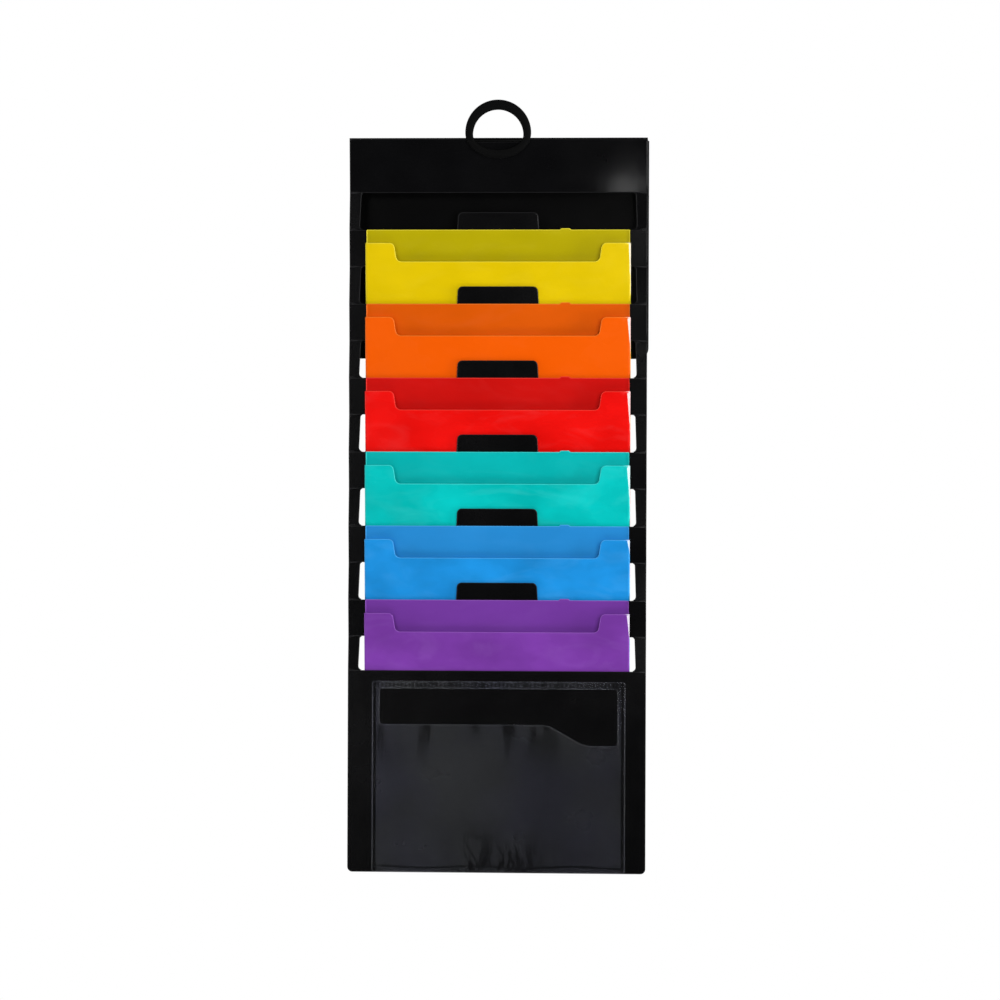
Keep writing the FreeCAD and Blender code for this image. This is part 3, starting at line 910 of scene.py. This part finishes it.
def make_gussets(colour, body, place):
    """Side gussets folded inwards in a V, and the bottom one folded upwards. The right one's front
    edge gives way behind the bent corner of the front panel."""
    panel = extent(f"{colour}_pocket_front", place)[1]
    for side, sign in (("left", -1), ("right", 1)):
        node = f"{colour}_pocket_gusset_{side}"
        low, high = extent(node, place)
        gauge = high.x - low.x
        edge = max(abs(low.x), abs(high.x)) - gauge / 2
        middle = (low.y + high.y) / 2
        section = folded(edge, low.y, high.y, -SIDE_FOLD, gauge)
        levels = levels_between(low.z, high.z, 4.0)

        def to_point(p, z):
            pushed = facet_bow(sign * panel.x, z, panel.x, panel.z, FACETS[colour])
            share = max(0.0, (middle - p.y) / (middle - low.y))
            return sign * p.x, p.y + pushed * share, z

        points, faces = swept(section, levels, to_point)
        finish_piece(f"{node}_skin", body, points, faces, None, place, BACKS[colour], [node])
    node = f"{colour}_pocket_gusset_bottom"
    low, high = extent(node, place)
    gauge = high.z - low.z
    section = folded(low.z + gauge / 2, low.y, high.y, BOTTOM_FOLD, gauge)
    levels = levels_between(low.x, high.x, 24.0)
    points, faces = swept(section, levels, lambda p, x: (x, p.y, p.x))
    finish_piece(f"{node}_skin", body, points, faces, None, place, BACKS[colour], [node])


# ---------------------------------------------------------------- clear pocket

def film_waves(x, z):
    """Slack of the clear sheet between its welds."""
    return 0.16 * math.sin(x * 0.045 + z * 0.021) * math.sin(z * 0.052 - x * 0.012) - 0.05


def make_film():
    low, high = extent("clear_pocket_film", COVER_PLACE)
    outer = rectangle(low, high, FILM_ROUND, FILM_ROUND)
    middle = (low.x + high.x) / 2
    first = middle - MOUTH_WIDTH / 2
    last = middle + MOUTH_WIDTH / 2
    top = high.z - MOUTH_TOP
    left = high.z - MOUTH_LEFT_DROP
    right = high.z - MOUTH_RIGHT_DROP
    mouth = rounded([
        (first, top, MOUTH_ROUND), (first, left, MOUTH_ROUND), (STEP_LEFT, left, STEP_ROUND),
        (STEP_RIGHT, right, STEP_ROUND), (last, right, MOUTH_ROUND), (last, top, MOUTH_ROUND),
    ])
    plate("clear_pocket_film_skin", "front_cover", [outer, mouth], (low.y, high.y), COVER_PLACE,
          film_material(low, high), "clear_pocket_film", shape=film_waves, step=6.0,
          band=FILM_BAND)


def make_weld_rim():
    """Welded rim with a pressed row of small ridges."""
    low, high = extent("clear_pocket_weld_rim", COVER_PLACE)
    points, faces = [], []
    lowest = low.z + WELD_WIDTH
    highest = high.z - WELD_WIDTH
    runs = [
        (Vector((low.x, high.z)), Vector((high.x, high.z)), Vector((0, -1))),
        (Vector((high.x, low.z)), Vector((low.x, low.z)), Vector((0, 1))),
        (Vector((low.x, lowest)), Vector((low.x, highest)), Vector((1, 0))),
        (Vector((high.x, highest)), Vector((high.x, lowest)), Vector((-1, 0))),
    ]
    section = [(across, low.y, pressed) for across, pressed in WELD_SECTION]
    section += [(across, high.y, 0) for across, pressed in reversed(WELD_SECTION)]
    for start, end, inward in runs:
        length = (end - start).length
        along = (end - start) / length

        def to_point(place, level):
            across, depth, pressed = place
            n, run = level
            dip = WELD_DIP if n % 4 in (1, 2) else 0.0
            p = start + along * run + inward * across
            return p.x, depth + dip * pressed, p.y

        levels = levels_between(0.0, length, WELD_PITCH / 4)
        add_part(points, faces, *swept(section, list(enumerate(levels)), to_point))
    finish_piece("clear_pocket_weld_skin", "front_cover", points, faces, None, COVER_PLACE, WELD,
                 ["clear_pocket_weld_rim"], sharp=25)


# ---------------------------------------------------------------- hanging ring

def ellipse_point(sizes, angle):
    half_width, rise, reach, centre = sizes
    tall = rise if math.sin(angle) >= 0 else reach
    return Vector((half_width * math.cos(angle), centre + tall * math.sin(angle)))


def rounded_box(low, high, radius, steps=3):
    """Closed box with rounded edges, as points and faces."""
    work = bmesh.new()
    size = high - low
    place = Matrix.Translation((low + high) / 2) @ Matrix.Diagonal((*size, 1.0))
    bmesh.ops.create_cube(work, size=1.0, matrix=place)
    bmesh.ops.bevel(work, geom=list(work.edges), offset=radius, segments=steps, profile=0.5,
                    affect="EDGES")
    points = [tuple(v.co) for v in work.verts]
    faces = [tuple(v.index for v in f.verts) for f in work.faces]
    work.free()
    return points, faces


def make_ring():
    """Oval ring in front of the header, a bar across its hole, a tongue that goes back from the bar
    through the header's notch, and a foot behind the header."""
    low, high = extent("hanging_ring", FRONT_CREASE)
    front = low.y
    back = RING_BACK
    points, faces = [], []
    section = []
    for at_rim, face, start in ((1, front, -90), (1, back, 0), (0, back, 90), (0, front, 180)):
        for n in range(4):
            section.append((at_rim, face, math.radians(start + 30 * n)))
    for k in range(RING_SECTIONS):
        angle = 2 * math.pi * k / RING_SECTIONS
        inner = ellipse_point(RING_INNER, angle)
        outer = ellipse_point(RING_OUTER, angle)
        across = (outer - inner).normalized()
        width = (outer - inner).length
        for at_rim, face, turn in section:
            base = width - RING_EDGE if at_rim else RING_EDGE
            middle = face + RING_EDGE if face == front else face - RING_EDGE
            p = inner + across * (base + RING_EDGE * math.cos(turn))
            points.append((p.x, middle + RING_EDGE * math.sin(turn), p.y))
    size = len(section)
    for k in range(RING_SECTIONS):
        this = [k * size + i for i in range(size)]
        after = [(k + 1) % RING_SECTIONS * size + i for i in range(size)]
        faces += strip(this, after)
    for half, depths, heights, radius in (
        (RING_INNER[0] + 1.0, (front + 1.2, back), BAR, 0.4),
        (TONGUE_WIDTH / 2, (back - 0.2, high.y - 0.4), BAR, 0.3),
        (FOOT_WIDTH / 2, (FOOT_FRONT, high.y), FOOT, 0.5),
    ):
        box_low = Vector((-half, depths[0], heights[0]))
        box_high = Vector((half, depths[1], heights[1]))
        add_part(points, faces, *rounded_box(box_low, box_high, radius))
    finish_piece("hanging_ring_skin", "header", points, faces, None, FRONT_CREASE, RING,
                 ["hanging_ring"], sharp=40)


# ---------------------------------------------------------------- creases

def crease_web(name, joint_name, leans, above, below, spans, face, material):
    """Thin hinge of the same sheet across a fold. leans are those of the panels above and below it,
    and face is the depth of its front and back."""
    place = fold_place(joint_name, 0)
    points, faces = [], []
    front, back = face
    upper, lower = (Matrix.Rotation(math.radians(lean), 2) for lean in leans)
    rows = [(WEB_REACH, upper), (0.0, Matrix.Identity(2)), (-WEB_REACH, lower)]
    section = []
    for z, turn in rows:
        section.append(turn @ Vector((front, z)))
    for z, turn in reversed(rows):
        section.append(turn @ Vector((back, z)))
    for start, end in spans:
        columns = levels_between(start, end, 6.0)
        add_part(points, faces, *swept(section, columns, lambda p, x: (x, p.x, p.y)))
    web = finish_piece(name, None, points, faces, None, place, material, None)
    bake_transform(web)


def corner_web(name, joint_name, half, centre, first, last):
    """Rounded corner of the sheet where it turns through a right angle at the spine."""
    place = fold_place(joint_name, 0)
    section = []
    steps = 6
    for radius, start, end in ((CORNER_OUTER, first, last), (CORNER_INNER, last, first)):
        for n in range(steps + 1):
            angle = math.radians(start + (end - start) * n / steps)
            out = Vector((math.cos(angle), math.sin(angle)))
            section.append(Vector(centre) + out * radius)
    points, faces = swept(section, levels_between(-half, half, 12.0), lambda p, x: (x, p.x, p.y))
    web = finish_piece(name, None, points, faces, None, place, BLACK, None)
    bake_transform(web)


def make_creases():
    outer = extent("strap_right_1", STRAP_PLACES[0])[1].x
    inner = outer - STRAP_WIDTH
    spans = [(-outer, -inner), (inner, outer)]
    lower = [(f"pocket_{k}", f"pocket_fold_{k}", LEAN) for k in range(1, POCKET_COUNT + 1)]
    lower.append(("front_cover", "front_cover_fold", 0.0))
    above = "header"
    for level, (below, lower_joint, lean_below) in enumerate(lower, start=1):
        crease_web(f"crease_upper_{level}", f"strap_fold_{level}", (LEAN, -LEAN), above,
                   f"straps_{level}", spans, UPPER_FACE, CREASE)
        crease_web(f"crease_lower_{level}", lower_joint, (-LEAN, lean_below), f"straps_{level}",
                   below, spans, LOWER_FACE, BLACK)
        above = below
    corner_web("crease_front_corner", "spine_fold", outer,
               (CORNER_CENTRE, -CORNER_CENTRE), 180, 90)
    corner_web("crease_back_corner", "back_cover_fold", outer,
               (-CORNER_CENTRE, -CORNER_CENTRE), 90, 0)


make_header()
make_spine()
make_back_cover()
for level in range(1, POCKET_COUNT + 2):
    make_straps(level)
for level, colour in enumerate(COLOURS, start=1):
    make_crossbar(level)
    make_pocket(level, colour)
make_front_cover()
make_film()
make_weld_rim()
make_ring()
make_creases()


# ---------------------------------------------------------------- floor, light and camera

FLOOR_DROP = 0.8          # from the bottom of the object down to the floor, metres
FLOOR_HALF = 1.2          # half the floor's width
FLOOR_GLOW = 0.5
CAMERA_DISTANCE = 4.0
VIEW_WIDTH = 1.12         # metres across the picture at the object
CAMERA_YAW = 3.2          # degrees
CAMERA_ROLL = 0.2
SENSOR_WIDTH = 36.0       # millimetres
TARGET_RIGHT = 0.0036     # what the camera aims at, from the middle of the object, metres
TARGET_DROP = 0.0150
WORLD_FILL = 0.02

CENTRE = (0, 0, -0.4)     # near the middle of the object
LIGHTS = [                # name, place, aim, width, height, watts, whether the camera sees it
    ("key_right", (1.7, -2.35, 0.15), CENTRE, 1.1, 2.0, 23.5, True),
    ("fill_left", (-1.55, -2.45, 0.15), CENTRE, 1.1, 2.0, 11, True),
    ("top", (0, -1.6, 1.8), CENTRE, 2.0, 1.0, 9, True),
    ("edge_right", (2.6, -0.45, -0.4), CENTRE, 0.3, 2.0, 52, True),
    ("edge_left", (-2.6, -0.45, -0.4), CENTRE, 0.3, 2.0, 22, True),
    ("gloss_right", (0.62, -2.0, -0.33), (0.1, 0, -0.35), 0.34, 0.4, 7.0, True),
    ("gloss_left_high", (-0.75, -2.0, 0.35), (-0.1, 0, -0.2), 0.34, 0.4, 2.5, True),
    ("gloss_left_low", (-0.75, -2.0, -0.75), (-0.1, 0, -0.4), 0.34, 0.4, 2.5, True),
    ("glint", (0.134, -0.45, -0.147), (0.14, 0, -0.09), 0.02, 0.015, 0.035, False),
    ("back_key", (-1.5, 2.5, 0.5), CENTRE, 1.2, 1.8, 42, False),
    ("back_fill", (1.6, 2.5, 0.1), CENTRE, 1.2, 1.8, 22, False),
    ("back_gloss", (-0.35, 2.3, -0.3), (0, 0, -0.3), 0.7, 0.9, 6, False),
]


def make_floor():
    """Pale floor below the object. Its faint glow keeps it pale in every view."""
    mesh = bpy.data.meshes.new("studio_floor")
    level = cad_low.z - FLOOR_DROP
    corners = [(-1, -1), (1, -1), (1, 1), (-1, 1)]
    points = [(FLOOR_HALF * x, FLOOR_HALF * y, level) for x, y in corners]
    mesh.from_pydata(points, [], [(0, 1, 2, 3)])
    material, shader = new_material("studio_floor_pale", (0.85, 0.85, 0.85), 0.7)
    greys = [(0.3, (0.84, 0.84, 0.84)), (0.7, (0.87, 0.87, 0.87))]
    tone = ramp(material, noise(material, 3.0), greys)
    link(material, tone, shader.inputs["Base Color"])
    shader.inputs["Emission Color"].default_value = (1.0, 1.0, 1.0, 1.0)
    shader.inputs["Emission Strength"].default_value = FLOOR_GLOW
    mesh.materials.append(material)
    floor = bpy.data.objects.new("studio_floor", mesh)
    bpy.context.scene.collection.objects.link(floor)


def make_light(name, place, aim, width, height, power, seen):
    """Soft rectangular light at place, turned towards aim."""
    data = bpy.data.lights.new(name, "AREA")
    data.shape = "RECTANGLE"
    data.size = width
    data.size_y = height
    data.energy = power
    lamp = bpy.data.objects.new(name, data)
    lamp.visible_camera = seen
    lamp.location = place
    lamp.rotation_mode = "QUATERNION"
    lamp.rotation_quaternion = (Vector(aim) - Vector(place)).to_track_quat("-Z", "Y")
    bpy.context.scene.collection.objects.link(lamp)


def make_world():
    """Even white surroundings for the camera, and a dim fill for the object."""
    world = bpy.data.worlds.new("studio")
    world.use_nodes = True
    nodes = world.node_tree.nodes
    fill = nodes["Background"]
    fill.inputs["Color"].default_value = (1, 1, 1, 1)
    fill.inputs["Strength"].default_value = WORLD_FILL
    seen = nodes.new("ShaderNodeBackground")
    seen.inputs["Color"].default_value = (1, 1, 1, 1)
    seen.inputs["Strength"].default_value = 1.0
    path = nodes.new("ShaderNodeLightPath")
    choose = nodes.new("ShaderNodeMixShader")
    world.node_tree.links.new(path.outputs["Is Camera Ray"], choose.inputs["Fac"])
    world.node_tree.links.new(fill.outputs["Background"], choose.inputs[1])
    world.node_tree.links.new(seen.outputs["Background"], choose.inputs[2])
    world.node_tree.links.new(choose.outputs["Shader"], nodes["World Output"].inputs["Surface"])
    bpy.context.scene.world = world


def make_camera():
    """Camera a little to the right of straight ahead, aimed near the object's middle."""
    data = bpy.data.cameras.new("camera")
    data.sensor_width = SENSOR_WIDTH
    data.lens = SENSOR_WIDTH * CAMERA_DISTANCE / VIEW_WIDTH
    camera = bpy.data.objects.new("camera", data)
    target = Vector((TARGET_RIGHT, 0.0, (cad_low.z + cad_high.z) / 2 - TARGET_DROP))
    yaw = math.radians(CAMERA_YAW)
    back = Vector((math.sin(yaw), -math.cos(yaw), 0))
    camera.location = target + back * CAMERA_DISTANCE
    aim = (-back).to_track_quat("-Z", "Y").to_matrix().to_4x4()
    camera.rotation_euler = (aim @ Matrix.Rotation(math.radians(CAMERA_ROLL), 4, "Z")).to_euler()
    bpy.context.scene.collection.objects.link(camera)
    bpy.context.scene.camera = camera


make_floor()
make_world()
for light in LIGHTS:
    make_light(*light)
make_camera()
bpy.context.scene.view_settings.view_transform = "Standard"
